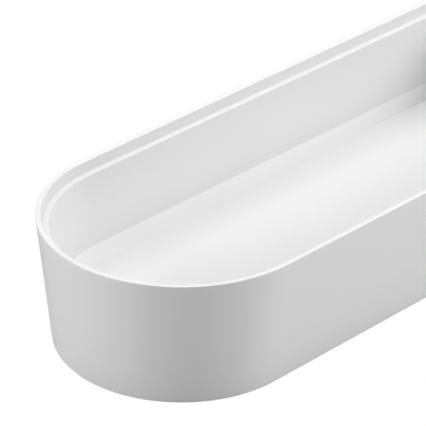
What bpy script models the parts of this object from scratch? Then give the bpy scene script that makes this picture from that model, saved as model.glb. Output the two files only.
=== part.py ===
"""Self watering planter: a long casing with half-round ends, a reservoir liner that lifts out of it, and a
half-length grow insert on the liner's rim. Metres, +Z up, origin on the table under the casing's middle."""

import math

import bmesh
import bpy
from mathutils import Matrix, Vector

# Casing
LENGTH = 0.800
WIDTH = 0.160
CASING_HEIGHT = 0.0782
SIDE_LEAN = 0.0077
CASING_WALL = 0.0030
CASING_FLOOR = 0.0030
RIB_HEIGHT = 0.0124
RIB_WIDTH = 0.0024
RIB_SPREAD = 0.0280
RIB_CELLS = 6
OUTLET_RADIUS = 0.0130

# Foot pads
PAD_RADIUS = 0.0080
PAD_STANDOFF = 0.0010
PAD_SUNK = 0.0014
PAD_EDGE = 0.0100

# Liner
LEDGE_DROP = 0.0066
LEDGE_WIDTH = 0.00345
LINER_WALL = 0.0020
LINER_FLOOR = 0.0020
LINER_BEAD = 0.0040
LINER_SIDE_GAP = 0.0021
WATER_DEPTH = 0.0106
COVE_INSET = 0.00135

# Drain
DRAIN_RADIUS = 0.0090
PLUG_FLANGE = 0.0140

# Grow insert
INSERT_START = 0.0005
INSERT_CORNER = 0.0160
INSERT_WALL = 0.0020
INSERT_FLANGE = 0.0020
INSERT_SIDE_GAP = 0.0016
AIR_GAP = 0.0077
SLOT_WIDTH = 0.0026
SLOT_LENGTH = 0.0200

# Wick baskets
BASKETS = 3
BASKET_RADIUS = 0.0190
BASKET_WALL = 0.0015
BASKET_FLANGE = 0.0032
BASKET_SLOTS = 8
MAT_THICKNESS = 0.0018
MAT_EDGE = 0.0025

# Bails
BAIL_WIDTH = 0.0900
BAIL_REACH = 0.0320
BAIL_CORNER = 0.0100
BAIL_ROD = 0.0024
BAIL_DROP = 0.0068
PIN_RADIUS = 0.0017
EAR_WIDTH = 0.0040
EYE_WIDTH = 0.0050

# Filler
FILL_RADIUS = 0.0140
FILL_WALL = 0.0018
FILL_FOOT = 0.0020
FILL_PLACE_X = 0.0345
FLAP_THICKNESS = 0.0020
FLAP_PIN = 0.0011
KNUCKLE = 0.0022
FLAP_HALF = 0.0040

# Gauge
GAUGE_RADIUS = 0.0090
GAUGE_WALL = 0.0013
GAUGE_STEP = 0.0020
GAUGE_LOW = 0.0018
FLOAT_HEIGHT = 0.0100
STEM_RADIUS = 0.0012

# Clearances
GAP = 0.0003
HOLE_GAP = 0.0003
WALL_CLEAR = 0.0030
MAT_CLEAR = 0.0010

# Small rounds, flanges and overlaps
EDGE_ROUND = 0.0008
FINE_ROUND = 0.0004
COVE = 0.0010
JOINT_LAP = 0.0010
PIN_HEAD = 0.0006
CAP_PLUG = 0.0022
WASHER = 0.0012
PLUG_DISC = 0.0022
KNOB_NECK = 0.0034
KNOB_HEAD = 0.0060
KNOB_HEIGHT = 0.0120
PLUG_TIP = 0.0012
BASKET_LIP = 0.0015
BASKET_TAPER = 0.84
BASKET_FOOT_GAP = 0.0010
BASKET_SLOT_WIDTH = 0.0032
GROMMET_RISE = 0.0030
GROMMET_WALL = 0.0022
GROMMET_LIP = 0.0018
STRAINER_WALL = 0.0011
STRAINER_DEPTH = 0.0160
STRAINER_STEP = 0.0100
STRAINER_SLOT = 0.0014
STRAINER_PITCH = 0.0036
FILL_SHOULDER = 0.0016
EAR_THICK = 0.0022
FLAG_HEIGHT = 0.0080
TAB_RADIUS = 0.0040

END_STEPS = 24
ROUND_STEPS = 24
FINE_STEPS = 16

WHITE = (0.86, 0.86, 0.86, 1.0)
LINER_WHITE = (0.88, 0.88, 0.88, 1.0)
INSERT_GREY = (0.72, 0.73, 0.73, 1.0)
BASKET_GREY = (0.30, 0.31, 0.32, 1.0)
RUBBER_GREY = (0.20, 0.20, 0.21, 1.0)
FELT_GREY = (0.33, 0.34, 0.33, 1.0)
PIN_METAL = (0.70, 0.70, 0.71, 1.0)
CLEAR = (0.85, 0.90, 0.92, 1.0)
FLOAT_WHITE = (0.90, 0.90, 0.88, 1.0)
FLAG_RED = (0.75, 0.05, 0.03, 1.0)

# Levels, from the table up
BASE_Z = PAD_STANDOFF
RIM_Z = BASE_Z + CASING_HEIGHT
CASING_FLOOR_Z = BASE_Z + CASING_FLOOR
RIB_TOP_Z = CASING_FLOOR_Z + RIB_HEIGHT
LINER_BASE_Z = RIB_TOP_Z + GAP
LINER_FLOOR_Z = LINER_BASE_Z + LINER_FLOOR
WATER_Z = LINER_FLOOR_Z + WATER_DEPTH
INSERT_BASE_Z = WATER_Z + AIR_GAP
INSERT_FLOOR_Z = INSERT_BASE_Z + INSERT_WALL
LEDGE_Z = RIM_Z - LEDGE_DROP
FLANGE_Z = LEDGE_Z + GAP
INSERT_RIM_Z = FLANGE_Z + INSERT_FLANGE

HALF_SPAN = (LENGTH - WIDTH) / 2


def casing_outer(z):
    """Half width of the casing's drafted outer wall at height z."""
    return WIDTH / 2 - SIDE_LEAN * (RIM_Z - z) / CASING_HEIGHT


def casing_inner(z):
    return casing_outer(z) - CASING_WALL


def liner_inner(z):
    """Half width inside the liner between its rim and the water line."""
    top = casing_inner(LEDGE_Z) - GAP - LEDGE_WIDTH
    low = casing_inner(WATER_Z) - LINER_SIDE_GAP - LINER_WALL
    return low + (top - low) * (z - WATER_Z) / (LEDGE_Z - WATER_Z)


LINER_FLOOR_RADIUS = casing_inner(LINER_FLOOR_Z) - LINER_SIDE_GAP - LINER_WALL - COVE_INSET
FLANGE_RADIUS = casing_inner(FLANGE_Z) - GAP - GAP / 2


def insert_outer(z):
    return liner_inner(z) - INSERT_SIDE_GAP


def insert_inner(z):
    return insert_outer(z) - INSERT_WALL


# Places on the insert's floor
FLOOR_HALF = insert_inner(INSERT_FLOOR_Z)
FILL_Y = -(FLOOR_HALF - WALL_CLEAR - FILL_RADIUS - FILL_FOOT)
GAUGE_X = FILL_PLACE_X
GROMMET_NECK = GAUGE_RADIUS + GROMMET_WALL
GROMMET_FLANGE = GROMMET_NECK + GROMMET_LIP
GAUGE_Y = FLOOR_HALF - WALL_CLEAR - GROMMET_FLANGE
BASKET_START = FILL_PLACE_X + FILL_RADIUS + WALL_CLEAR
BASKET_PITCH = (HALF_SPAN + FLOOR_HALF / 2 - BASKET_START) / BASKETS
BASKET_XS = [BASKET_START + BASKET_PITCH * (i + 0.5) for i in range(BASKETS)]
BAIL_X = (BASKET_XS[0] + BASKET_XS[-1]) / 2
BAIL_Z = INSERT_RIM_Z - BAIL_DROP
BAIL_EYE = PIN_RADIUS + BAIL_ROD
BAIL_Y = insert_inner(BAIL_Z) - BAIL_EYE - WALL_CLEAR
RIB_PITCH = 2 * HALF_SPAN / RIB_CELLS
DRAIN_X = -RIB_PITCH / 2

# Places that follow from the ones above
PAD_Y = casing_outer(BASE_Z) - PAD_RADIUS - PAD_EDGE
PAD_PLACES = [(x, side * PAD_Y) for x in (-HALF_SPAN, 0, HALF_SPAN) for side in (-1, 1)]
EAR_OFFSET = BAIL_WIDTH / 2 + EYE_WIDTH / 2 + GAP + EAR_WIDTH / 2
EAR_XS = (BAIL_X - EAR_OFFSET, BAIL_X + EAR_OFFSET)
GAUGE_TOP_Z = INSERT_RIM_Z - GAUGE_LOW
FLOAT_TRAVEL = WATER_DEPTH - 2 * EDGE_ROUND
FILL_TOP_Z = INSERT_RIM_Z - FLAP_THICKNESS - COVE
HINGE_X = FILL_PLACE_X - FILL_RADIUS - KNUCKLE
HINGE_Z = FILL_TOP_Z + GAP + FLAP_THICKNESS / 2
FLAP_RADIUS = FILL_RADIUS - COVE
SLOT_YS = (-FLOOR_HALF + MAT_EDGE + SLOT_LENGTH, FLOOR_HALF - MAT_EDGE - SLOT_LENGTH)
SLOT_XS = [BASKET_XS[i] + BASKET_PITCH * (j - 1) / 3 for i in range(BASKETS - 1) for j in range(3)]


def clear_scene():
    for old in list(bpy.data.objects):
        bpy.data.objects.remove(old, do_unlink=True)


def collection(name, shown=True):
    made = bpy.data.collections.new(name)
    bpy.context.scene.collection.children.link(made)
    made.hide_render = not shown
    return made


def finish_of(name, colour, roughness, metallic=0.0):
    made = bpy.data.materials.new(name)
    made.use_nodes = True
    shader = made.node_tree.nodes["Principled BSDF"]
    shader.inputs["Base Color"].default_value = colour
    shader.inputs["Roughness"].default_value = roughness
    shader.inputs["Metallic"].default_value = metallic
    return made


def add(name, bm, finish, group):
    """Turns a bmesh into a named object with its material."""
    mesh = bpy.data.meshes.new(name)
    bm.to_mesh(mesh)
    bm.free()
    if finish:
        mesh.materials.append(finish)
    made = bpy.data.objects.new(name, mesh)
    group.objects.link(made)
    mesh.shade_smooth()
    mesh.set_sharp_from_angle(angle=math.radians(35))
    return made


def arc(centre, radius, start, end, steps):
    """Points on an arc in the (radius, height) plane, angles in degrees."""
    angles = [math.radians(start + (end - start) * i / steps) for i in range(steps + 1)]
    return [(centre[0] + radius * math.cos(a), centre[1] + radius * math.sin(a)) for a in angles]


def turn(bm, geometry, x, y, degrees):
    steps = max(4, round(END_STEPS * abs(degrees) / 180))
    made = bmesh.ops.spin(
        bm, geom=geometry, cent=(x, y, 0), axis=(0, 0, 1), dvec=(0, 0, 0),
        angle=math.radians(degrees), steps=steps, use_merge=False, use_duplicate=False,
    )
    return made["geom_last"]


def run(bm, geometry, x, y):
    made = bmesh.ops.spin(
        bm, geom=geometry, cent=(0, 0, 0), axis=(0, 0, 1), dvec=(x, y, 0),
        angle=0, steps=1, use_merge=False, use_duplicate=False,
    )
    return made["geom_last"]


def section_line(bm, section, x):
    """The wall's section at the near long side, as (half width, height) points, with its two end points."""
    verts = [bm.verts.new((x, -radius, z)) for radius, z in section]
    edges = [bm.edges.new(pair) for pair in zip(verts, verts[1:])]
    return verts + edges


def close_floors(bm):
    """Merges the seam, fills the two flat floor outlines and turns the faces outwards."""
    bmesh.ops.remove_doubles(bm, verts=bm.verts, dist=1e-6)
    open_edges = [edge for edge in bm.edges if edge.is_boundary]
    bmesh.ops.holes_fill(bm, edges=open_edges, sides=0)
    bmesh.ops.recalc_face_normals(bm, faces=bm.faces)


def long_tray(section):
    """A tray with two half-round ends."""
    bm = bmesh.new()
    line = section_line(bm, section, HALF_SPAN)
    line = turn(bm, line, HALF_SPAN, 0, 180)
    line = run(bm, line, -2 * HALF_SPAN, 0)
    line = turn(bm, line, -HALF_SPAN, 0, 180)
    run(bm, line, 2 * HALF_SPAN, 0)
    close_floors(bm)
    return bm


def half_tray(section, start_x, outline, corner):
    """A tray with one half-round end and one straight end, whose widest outline has half width outline."""
    bm = bmesh.new()
    corner_x = start_x + corner
    corner_y = outline - corner
    line = section_line(bm, section, HALF_SPAN)
    line = turn(bm, line, HALF_SPAN, 0, 180)
    line = run(bm, line, corner_x - HALF_SPAN, 0)
    line = turn(bm, line, corner_x, corner_y, 90)
    line = run(bm, line, 0, -2 * corner_y)
    line = turn(bm, line, corner_x, -corner_y, 90)
    run(bm, line, HALF_SPAN - corner_x, 0)
    close_floors(bm)
    return bm


def box(low, high):
    bm = bmesh.new()
    middle = (Vector(low) + Vector(high)) / 2
    size = Vector(high) - Vector(low)
    place = Matrix.Translation(middle) @ Matrix.Diagonal((*size, 1))
    bmesh.ops.create_cube(bm, size=1, matrix=place)
    return bm


def cylinder(radius, low, high, axis="Z", top_radius=None, steps=ROUND_STEPS):
    """A cylinder or cone along an axis, from its low end point to its high end point's coordinate."""
    bm = bmesh.new()
    length = high - low[2] if axis == "Z" else high - low["XYZ".index(axis)]
    lift = Matrix.Translation((0, 0, length / 2))
    swing = {"Z": Matrix(), "X": Matrix.Rotation(math.pi / 2, 4, "Y"),
             "Y": Matrix.Rotation(-math.pi / 2, 4, "X")}[axis]
    bmesh.ops.create_cone(
        bm, cap_ends=True, segments=steps, radius1=radius, radius2=top_radius or radius,
        depth=length, matrix=Matrix.Translation(low) @ swing @ lift,
    )
    return bm


def join(parts):
    """One bmesh holding several separate closed solids."""
    whole = bmesh.new()
    for part in parts:
        mesh = bpy.data.meshes.new("part")
        part.to_mesh(mesh)
        part.free()
        whole.from_mesh(mesh)
        bpy.data.meshes.remove(mesh)
    return whole


def cut(target, name, parts, operation="DIFFERENCE"):
    """Cuts or joins separate solids with a Boolean modifier whose operand stays with the cutters."""
    tool = add(name, join(parts), None, cutters)
    tool.hide_render = True
    tool.display_type = "WIRE"
    boolean = target.modifiers.new(name, "BOOLEAN")
    boolean.operation = operation
    boolean.solver = "EXACT"
    boolean.object = tool


def turned(name, profile, x, y, finish, closed=False, steps=ROUND_STEPS):
    """A turned solid: profile points (radius, height) run down the outer side, from top to bottom."""
    bm = bmesh.new()
    verts = [bm.verts.new((radius, 0, z)) for radius, z in profile]
    for pair in zip(verts, verts[1:]):
        bm.edges.new(pair)
    if closed:
        bm.edges.new((verts[-1], verts[0]))
    made = add(name, bm, finish, planter)
    made.location = (x, y, 0)
    screw = made.modifiers.new("turn", "SCREW")
    screw.axis = "Z"
    screw.angle = 2 * math.pi
    screw.steps = steps
    screw.render_steps = steps
    screw.use_merge_vertices = True
    screw.merge_threshold = 0.00001
    screw.use_smooth_shade = True
    return made


def make_casing():
    """Outer casing: drafted wall with a rounded lip, flat floor with ribs, pad recesses and drain outlet."""
    lip = (CASING_WALL - FINE_ROUND) / 2
    foot = EDGE_ROUND
    rim_out = casing_outer(RIM_Z)
    rim_in = casing_inner(RIM_Z)
    base_half = casing_outer(BASE_Z)
    section = [(base_half - foot, BASE_Z), (base_half - foot * 0.3, BASE_Z + foot * 0.3)]
    section += [(casing_outer(BASE_Z + foot), BASE_Z + foot)]
    section += arc((rim_out - lip, RIM_Z - lip), lip, 0, 90, 4)
    section += arc((rim_in + lip, RIM_Z - lip), lip, 90, 180, 4)
    section += [(casing_inner(CASING_FLOOR_Z + foot), CASING_FLOOR_Z + foot)]
    section += [(casing_inner(CASING_FLOOR_Z) - foot, CASING_FLOOR_Z)]
    casing = add("outer_casing", long_tray(section), white, planter)
    rib_end = HALF_SPAN + 0.040
    rib_half = casing_inner(CASING_FLOOR_Z) - 0.010
    low = CASING_FLOOR_Z - CASING_FLOOR / 2
    for side in (-1, 1):
        y = side * RIB_SPREAD
        rail = box((-rib_end, y - RIB_WIDTH / 2, low), (rib_end, y + RIB_WIDTH / 2, RIB_TOP_Z))
        cut(casing, f"rail_{side + 1}", [rail], "UNION")
    ribs = []
    for i in range(RIB_CELLS + 1):
        x = -HALF_SPAN + i * RIB_PITCH
        ribs.append(box((x - RIB_WIDTH / 2, -rib_half, low), (x + RIB_WIDTH / 2, rib_half, RIB_TOP_Z)))
    cut(casing, "cross_ribs", ribs, "UNION")
    recess_top = BASE_Z + PAD_SUNK + GAP
    recesses = [cylinder(PAD_RADIUS + HOLE_GAP, (x, y, -GAP), recess_top) for x, y in PAD_PLACES]
    outlet = cylinder(OUTLET_RADIUS, (DRAIN_X, 0, -GAP), CASING_FLOOR_Z + GAP)
    cut(casing, "recesses", recesses + [outlet])


def make_foot_pads():
    """Soft pads pressed into the casing's underside."""
    for i, (x, y) in enumerate(PAD_PLACES):
        top = BASE_Z + PAD_SUNK
        profile = [(0, top), (PAD_RADIUS, top), (PAD_RADIUS, FINE_ROUND)]
        profile += [(PAD_RADIUS - FINE_ROUND, 0), (0, 0)]
        turned(f"foot_pad_{i + 1}", profile, x, y, rubber, steps=20)


def make_liner():
    """Reservoir liner: a bead that shows as the ledge, a drafted wall, and a cove below the water line."""
    round_in = EDGE_ROUND
    bead_z = LEDGE_Z - LINER_BEAD
    outer_top = casing_inner(LEDGE_Z) - GAP
    outer_low = casing_inner(bead_z) - GAP
    floor = LINER_FLOOR_RADIUS
    foot = LINER_WALL - EDGE_ROUND
    section = [(floor + foot, LINER_BASE_Z), (floor + LINER_WALL, LINER_BASE_Z + foot)]
    section += [(liner_inner(WATER_Z) + LINER_WALL, WATER_Z)]
    section += [(liner_inner(bead_z) + LINER_WALL, bead_z), (outer_low, bead_z)]
    section += [(outer_top, LEDGE_Z - FINE_ROUND), (outer_top - FINE_ROUND, LEDGE_Z)]
    section += arc((liner_inner(LEDGE_Z) + round_in, LEDGE_Z - round_in), round_in, 90, 180, 3)
    section += [(liner_inner(WATER_Z), WATER_Z), (floor + GAP, LINER_FLOOR_Z + COVE)]
    section += [(floor - COVE, LINER_FLOOR_Z)]
    liner = add("reservoir_liner", long_tray(section), liner_white, planter)
    hole = cylinder(DRAIN_RADIUS, (DRAIN_X, 0, LINER_BASE_Z - GAP), LINER_FLOOR_Z + GAP)
    cut(liner, "drain_hole", [hole])


def make_drain():
    """Stopper with a finger knob, and the washer under its flange."""
    washer_z = LINER_FLOOR_Z + GAP
    washer_top = washer_z + WASHER
    flange_z = washer_top + GAP
    flange_top = flange_z + PLUG_DISC
    knob_top = flange_top + KNOB_HEIGHT
    stem = DRAIN_RADIUS - HOLE_GAP
    tip_z = LINER_BASE_Z - PLUG_TIP
    outer = PLUG_FLANGE - EDGE_ROUND
    inner = DRAIN_RADIUS + GAP
    ring = [(outer, washer_top), (outer, washer_z), (inner, washer_z), (inner, washer_top)]
    turned("drain_washer", ring, DRAIN_X, 0, rubber, closed=True)
    knob = [(0, knob_top), (KNOB_HEAD * 0.7, knob_top - FINE_ROUND), (KNOB_HEAD, knob_top - KNOB_HEIGHT / 6)]
    knob += [(KNOB_HEAD, knob_top - KNOB_HEIGHT / 3), (KNOB_NECK, knob_top - KNOB_HEIGHT / 2)]
    knob += [(KNOB_NECK, flange_top + KNOB_HEIGHT / 8), (KNOB_NECK * 1.4, flange_top)]
    knob += [(PLUG_FLANGE - FINE_ROUND, flange_top), (PLUG_FLANGE, flange_top - FINE_ROUND)]
    knob += [(PLUG_FLANGE, flange_z), (stem, flange_z), (stem - FINE_ROUND, tip_z + COVE)]
    knob += [(stem - FINE_ROUND - COVE, tip_z), (0, tip_z)]
    turned("drain_plug", knob, DRAIN_X, 0, rubber)


def make_insert():
    """Grow insert: flange on the ledge, drafted wall, slotted floor, and ears for the bails."""
    edge = FINE_ROUND
    shoulder = insert_inner(INSERT_RIM_Z - COVE)
    section = [(insert_outer(INSERT_BASE_Z) - COVE, INSERT_BASE_Z)]
    section += [(insert_outer(INSERT_BASE_Z), INSERT_BASE_Z + COVE)]
    section += [(insert_outer(FLANGE_Z - GAP), FLANGE_Z), (FLANGE_RADIUS, FLANGE_Z)]
    section += [(FLANGE_RADIUS, INSERT_RIM_Z - edge), (FLANGE_RADIUS - edge, INSERT_RIM_Z)]
    section += [(shoulder + COVE, INSERT_RIM_Z), (shoulder, INSERT_RIM_Z - COVE)]
    section += [(insert_inner(INSERT_FLOOR_Z), INSERT_FLOOR_Z + 1.5 * COVE)]
    section += [(insert_inner(INSERT_FLOOR_Z) - 1.5 * COVE, INSERT_FLOOR_Z)]
    tray = half_tray(section, INSERT_START, FLANGE_RADIUS, INSERT_CORNER)
    insert = add("grow_insert", tray, grey, planter)
    ears = []
    bores = []
    for side in (-1, 1):
        for x in EAR_XS:
            wall = insert_inner(BAIL_Z) + INSERT_WALL / 2
            near = BAIL_Y - BAIL_EYE
            ys = sorted((side * near, side * wall))
            low = (x - EAR_WIDTH / 2, ys[0], BAIL_Z - BAIL_EYE)
            ears.append(box(low, (x + EAR_WIDTH / 2, ys[1], BAIL_Z + BAIL_EYE)))
            start = (x - EAR_WIDTH, side * BAIL_Y, BAIL_Z)
            bores.append(cylinder(PIN_RADIUS + HOLE_GAP, start, x + EAR_WIDTH, "X", steps=FINE_STEPS))
    cut(insert, "bail_ears", ears, "UNION")
    low = INSERT_BASE_Z - GAP
    high = INSERT_FLOOR_Z + GAP
    holes = [cylinder(BASKET_RADIUS + HOLE_GAP, (x, 0, low), high) for x in BASKET_XS]
    holes.append(cylinder(FILL_RADIUS + HOLE_GAP, (FILL_PLACE_X, FILL_Y, low), high))
    holes.append(cylinder(GROMMET_NECK + HOLE_GAP, (GAUGE_X, GAUGE_Y, low), high))
    for x in SLOT_XS:
        for y in SLOT_YS:
            corner = (x - SLOT_WIDTH / 2, y - SLOT_LENGTH / 2, low)
            holes.append(box(corner, (x + SLOT_WIDTH / 2, y + SLOT_LENGTH / 2, high)))
    cut(insert, "bail_bores", bores)
    cut(insert, "floor_holes", holes)


def make_baskets():
    """Slotted cups whose soil dips into the water and draws it up."""
    lip = INSERT_FLOOR_Z + GAP
    top = lip + BASKET_LIP
    foot = LINER_FLOOR_Z + BASKET_FOOT_GAP
    low_radius = BASKET_RADIUS * BASKET_TAPER
    for i, x in enumerate(BASKET_XS):
        profile = [(0, foot + BASKET_WALL), (low_radius - BASKET_WALL, foot + BASKET_WALL)]
        profile += [(BASKET_RADIUS - BASKET_WALL, top), (BASKET_RADIUS + BASKET_FLANGE, top)]
        profile += [(BASKET_RADIUS + BASKET_FLANGE, lip), (BASKET_RADIUS, lip)]
        profile += [(BASKET_RADIUS, INSERT_BASE_Z), (low_radius, foot), (0, foot)]
        basket = turned(f"wick_basket_{i + 1}", profile, x, 0, dark)
        basket_slots(basket, x, foot)


def basket_slots(basket, x, foot):
    """Upright slots all round a cup, between its floor and the insert's."""
    slots = []
    low = foot + BASKET_WALL + COVE
    high = INSERT_BASE_Z - 3 * COVE
    half = BASKET_SLOT_WIDTH / 2
    for k in range(BASKET_SLOTS):
        angle = 2 * math.pi * (k + 0.5) / BASKET_SLOTS
        slot = box((BASKET_RADIUS * 0.55, -half, low), (BASKET_RADIUS * 1.2, half, high))
        place = Matrix.Translation((x, 0, 0)) @ Matrix.Rotation(angle, 4, "Z")
        bmesh.ops.transform(slot, verts=slot.verts, matrix=place)
        slots.append(slot)
    cut(basket, f"{basket.name}_slots", slots)


def make_mat():
    """Capillary felt laid on the insert's floor, with holes for what passes through it."""
    low = INSERT_FLOOR_Z + GAP
    high = low + MAT_THICKNESS
    half = insert_inner(INSERT_FLOOR_Z) - MAT_EDGE
    edge = FLANGE_RADIUS - half
    section = [(half, low), (half, high)]
    start = INSERT_START + edge
    corner = INSERT_CORNER - edge + 4 * COVE
    mat = add("capillary_mat", half_tray(section, start, half, corner), felt, planter)
    places = [(BASKET_RADIUS + BASKET_FLANGE, x, 0) for x in BASKET_XS]
    places += [(FILL_RADIUS + FILL_FOOT, FILL_PLACE_X, FILL_Y), (GROMMET_FLANGE, GAUGE_X, GAUGE_Y)]
    holes = [cylinder(radius + MAT_CLEAR, (x, y, low - GAP), high + GAP) for radius, x, y in places]
    cut(mat, "mat_holes", holes)


def make_bail(name, side):
    """Folding handle: a rod bent to a flat loop, with an eye at each end for its pin."""
    corner = BAIL_CORNER
    eye_y = side * BAIL_Y
    half = BAIL_WIDTH / 2
    reach = BAIL_REACH
    path = [(-half, BAIL_EYE * 0.4)]
    path += arc((-half + corner, reach - corner), corner, 180, 90, 6)
    path += arc((half - corner, reach - corner), corner, 90, 0, 6)
    path += [(half, BAIL_EYE * 0.4)]
    curve = bpy.data.curves.new(name, "CURVE")
    curve.dimensions = "3D"
    curve.bevel_depth = BAIL_ROD
    curve.bevel_resolution = 2
    curve.use_fill_caps = True
    spline = curve.splines.new("POLY")
    spline.points.add(len(path) - 1)
    for point, (x, y) in zip(spline.points, path):
        point.co = (BAIL_X + x, eye_y - side * y, BAIL_Z, 1)
    rod = bpy.data.objects.new(f"{name}_rod", curve)
    cutters.objects.link(rod)
    bpy.context.view_layer.update()
    graph = bpy.context.evaluated_depsgraph_get()
    mesh = bpy.data.meshes.new_from_object(rod.evaluated_get(graph))
    bm = bmesh.new()
    bm.from_mesh(mesh)
    bmesh.ops.remove_doubles(bm, verts=bm.verts, dist=1e-6)
    bmesh.ops.recalc_face_normals(bm, faces=bm.faces)
    bpy.data.objects.remove(rod, do_unlink=True)
    bpy.data.meshes.remove(mesh)
    hinge = Vector((BAIL_X, eye_y, BAIL_Z))
    bmesh.ops.translate(bm, verts=bm.verts, vec=-hinge)
    bail = add(name, bm, grey, planter)
    bail.location = hinge
    eyes = []
    bores = []
    for x in (-half, half):
        start = (BAIL_X + x - EYE_WIDTH / 2, eye_y, BAIL_Z)
        eyes.append(cylinder(BAIL_EYE, start, BAIL_X + x + EYE_WIDTH / 2, "X", steps=20))
        start = (BAIL_X + x - EYE_WIDTH, eye_y, BAIL_Z)
        bores.append(cylinder(PIN_RADIUS + HOLE_GAP, start, BAIL_X + x + EYE_WIDTH, "X", steps=FINE_STEPS))
    cut(bail, f"{name}_eyes", eyes, "UNION")
    cut(bail, f"{name}_bores", bores)


def make_bail_pins():
    """Pins through the ears and the eyes."""
    place = 1
    for side in (-1, 1):
        for x, towards in zip(EAR_XS, (1, -1)):
            inner = x + towards * (EAR_WIDTH / 2 + EYE_WIDTH + GAP)
            outer = x - towards * (EAR_WIDTH / 2 + PIN_HEAD)
            ends = sorted((inner, outer))
            pin = cylinder(PIN_RADIUS, (ends[0], side * BAIL_Y, BAIL_Z), ends[1], "X", steps=FINE_STEPS)
            add(f"bail_pin_{place}", pin, metal, planter)
            place += 1


def make_filler():
    """Fill tube standing in the insert's floor, its strainer, and the hinged flap on its mouth."""
    foot_z = INSERT_FLOOR_Z + GAP
    inner = FILL_RADIUS - FILL_WALL
    step = inner - FILL_SHOULDER
    step_z = FILL_TOP_Z - STRAINER_STEP
    end_z = INSERT_BASE_Z - 3 * COVE
    flange_z = foot_z + FILL_SHOULDER
    profile = [(inner, FILL_TOP_Z), (FILL_RADIUS, FILL_TOP_Z), (FILL_RADIUS, flange_z)]
    profile += [(FILL_RADIUS + FILL_FOOT, flange_z), (FILL_RADIUS + FILL_FOOT, foot_z)]
    profile += [(FILL_RADIUS, foot_z), (FILL_RADIUS - FINE_ROUND, end_z)]
    profile += [(step, end_z), (step, step_z), (inner, step_z)]
    tube = turned("fill_tube", profile, FILL_PLACE_X, FILL_Y, grey, closed=True)
    ears = []
    for side in (-1, 1):
        far = FLAP_HALF + EAR_THICK
        ys = sorted((FILL_Y + side * FLAP_HALF, FILL_Y + side * far))
        low = (HINGE_X - KNUCKLE, ys[0], HINGE_Z - KNUCKLE)
        reach = FILL_PLACE_X - math.sqrt(FILL_RADIUS ** 2 - far ** 2) + FILL_WALL / 2
        ears.append(box(low, (reach, ys[1], FILL_TOP_Z - GAP)))
        low = (HINGE_X - KNUCKLE, ys[0], FILL_TOP_Z - JOINT_LAP)
        ears.append(box(low, (HINGE_X + KNUCKLE, ys[1], HINGE_Z + KNUCKLE)))
    cut(tube, "flap_ears_low", ears[0::2], "UNION")
    cut(tube, "flap_ears_high", ears[1::2], "UNION")
    cut(tube, "flap_bore", [flap_bore()])
    make_strainer(inner, step, step_z)
    make_flap()


def flap_bore():
    reach = FLAP_HALF + 2 * EAR_THICK
    start = (HINGE_X, FILL_Y - reach, HINGE_Z)
    return cylinder(FLAP_PIN + HOLE_GAP, start, FILL_Y + reach, "Y", steps=FINE_STEPS)


def make_strainer(inner, step, step_z):
    """Slotted cup hung on the tube's inner step."""
    lip = step_z + GAP
    wall = STRAINER_WALL
    top = lip + wall
    radius = step - GAP
    low_radius = radius - FINE_ROUND
    foot = lip - STRAINER_DEPTH
    profile = [(0, foot + wall), (low_radius - wall, foot + wall), (radius - wall, top)]
    profile += [(inner - GAP, top), (inner - GAP, lip), (radius, lip), (low_radius, foot), (0, foot)]
    strainer = turned("fill_strainer", profile, FILL_PLACE_X, FILL_Y, dark, steps=20)
    slots = []
    half = STRAINER_SLOT / 2
    reach = low_radius / 2
    for k in range(4):
        y = FILL_Y + (k - 1.5) * STRAINER_PITCH
        low = (FILL_PLACE_X - reach, y - half, foot - GAP)
        slots.append(box(low, (FILL_PLACE_X + reach, y + half, foot + 2 * wall)))
    cut(strainer, "strainer_slots", slots)


def make_flap():
    """Round flap with an arm and a knuckle on the pin."""
    low = FILL_TOP_Z + GAP
    high = low + FLAP_THICKNESS
    hinge = Vector((HINGE_X, FILL_Y, HINGE_Z))
    disc = cylinder(FLAP_RADIUS, (FILL_PLACE_X, FILL_Y, low), high, steps=28)
    bmesh.ops.translate(disc, verts=disc.verts, vec=-hinge)
    flap = add("fill_flap", disc, grey, planter)
    flap.location = hinge
    half = FLAP_HALF - GAP
    arm_half = half - 0.0002
    arm_end = FILL_PLACE_X - FLAP_RADIUS + 3 * JOINT_LAP
    arm = box((HINGE_X, FILL_Y - arm_half, low + 0.0001), (arm_end, FILL_Y + arm_half, high - 0.0001))
    knuckle = cylinder(KNUCKLE, (HINGE_X, FILL_Y - half, HINGE_Z), FILL_Y + half, "Y", steps=20)
    tab_place = (FILL_PLACE_X + FLAP_RADIUS - JOINT_LAP, FILL_Y, low + 0.0002)
    tab = cylinder(TAB_RADIUS, tab_place, high - 0.0002, steps=FINE_STEPS)
    cut(flap, "flap_arm", [arm], "UNION")
    cut(flap, "flap_knuckle", [knuckle], "UNION")
    cut(flap, "flap_tab", [tab], "UNION")
    cut(flap, "flap_knuckle_bore", [flap_bore()])
    ends = FLAP_HALF + EAR_THICK + PIN_HEAD
    pin = cylinder(FLAP_PIN, (HINGE_X, FILL_Y - ends, HINGE_Z), FILL_Y + ends, "Y", steps=12)
    add("flap_pin", pin, metal, planter)


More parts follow.
